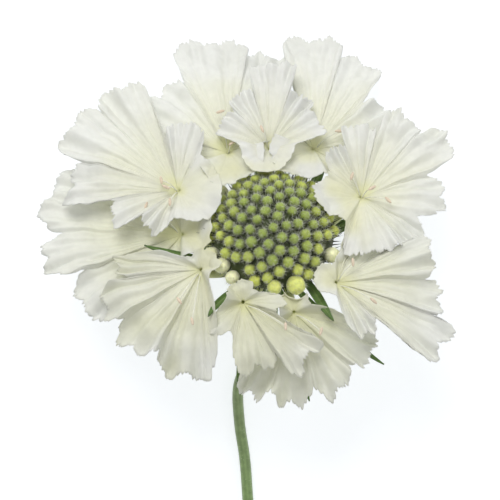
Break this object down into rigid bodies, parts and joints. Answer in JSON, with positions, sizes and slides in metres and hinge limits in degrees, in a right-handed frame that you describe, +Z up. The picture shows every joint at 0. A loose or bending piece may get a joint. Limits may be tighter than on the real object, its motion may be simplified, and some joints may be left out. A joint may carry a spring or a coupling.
{
  "type": "cut scabiosa flower",
  "caption": "Cut scabiosa flower lying face up: pale frilled ray florets round a domed green disc of buds, pointed bracts and a slender bent stem.",
  "frame": {"origin": "middle of the underside of the flower's box, on the table it lies on", "axes": "+Z up from the table and the way the flower faces; +Y from the cut end of the stem towards the head; +X to the right of the head seen from above"},
  "size_m": [0.0754, 0.1604, 0.0293],
  "materials": {
    "stem": "soft green, finely hairy plant stem",
    "bract": "matt dark green leaf",
    "bud": "matt yellow-green buds",
    "petal": "soft translucent cream-white petal"
  },
  "bodies": {
    "root": {"stem": "stem", "involucre": "bract", "disc_florets": "bud", "ray_floret_01": "petal", "ray_floret_02": "petal", "ray_floret_03": "petal", "ray_floret_04": "petal", "ray_floret_05": "petal", "ray_floret_06": "petal", "ray_floret_07": "petal", "ray_floret_08": "petal", "ray_floret_09": "petal", "ray_floret_10": "petal"}
  },
  "joints": []
}
